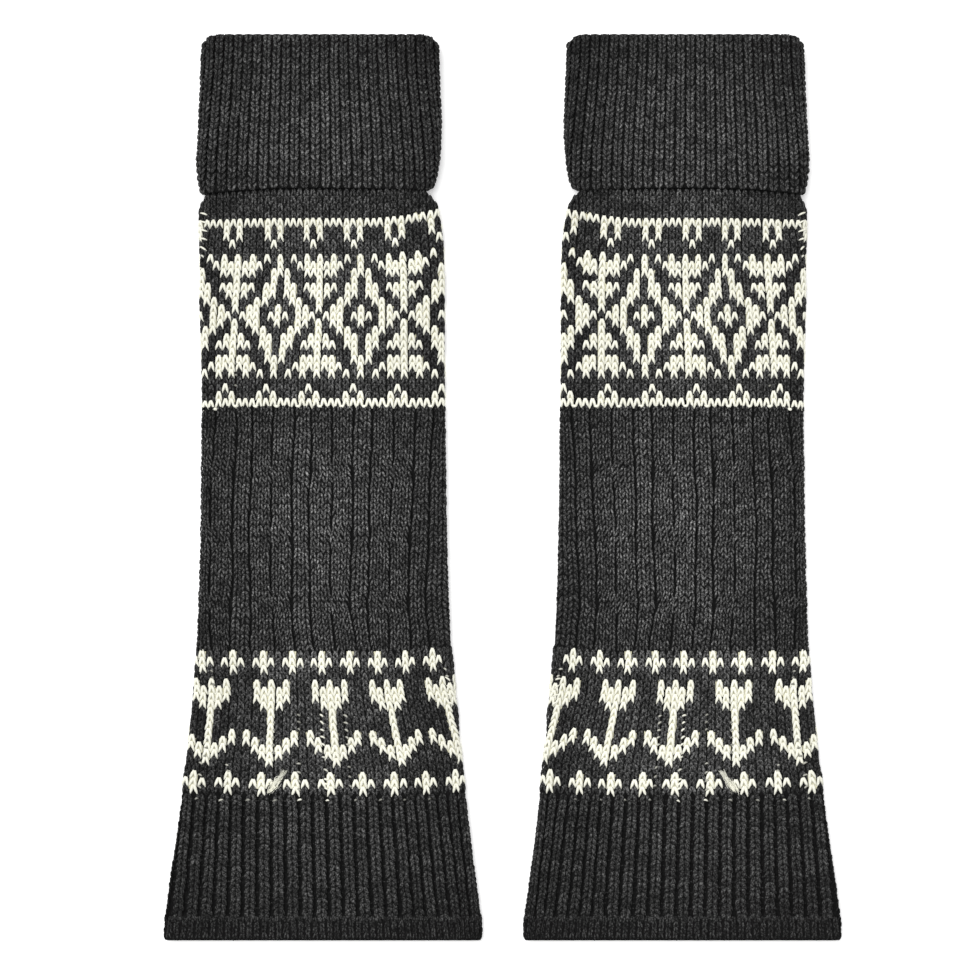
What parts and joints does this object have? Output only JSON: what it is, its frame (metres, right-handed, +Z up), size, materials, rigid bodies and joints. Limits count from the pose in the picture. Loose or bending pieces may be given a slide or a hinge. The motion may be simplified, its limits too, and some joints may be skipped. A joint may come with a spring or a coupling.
{
  "type": "pair of boot warmers",
  "caption": "Pair of footless knitted boot warmers lying flat side by side, with turned-down ribbed cuffs, cabled shins, patterned bands and flared ribbed hems.",
  "frame": {"origin": "centre of the pair's footprint, on the surface that it lies on", "axes": "+X across the pair, +Y up the legs towards the turned-down cuffs, +Z up from the surface"},
  "size_m": [0.3048, 0.406, 0.0113],
  "materials": {
    "leg_yarn": "soft matte heathered charcoal knit",
    "cuff_yarn": "soft matte heathered charcoal rib knit"
  },
  "bodies": {
    "root": {"left_leg_front": "leg_yarn", "left_leg_back": "leg_yarn", "left_cuff_front": "cuff_yarn", "left_cuff_back": "cuff_yarn", "right_leg_front": "leg_yarn", "right_leg_back": "leg_yarn", "right_cuff_front": "cuff_yarn", "right_cuff_back": "cuff_yarn"}
  },
  "joints": []
}
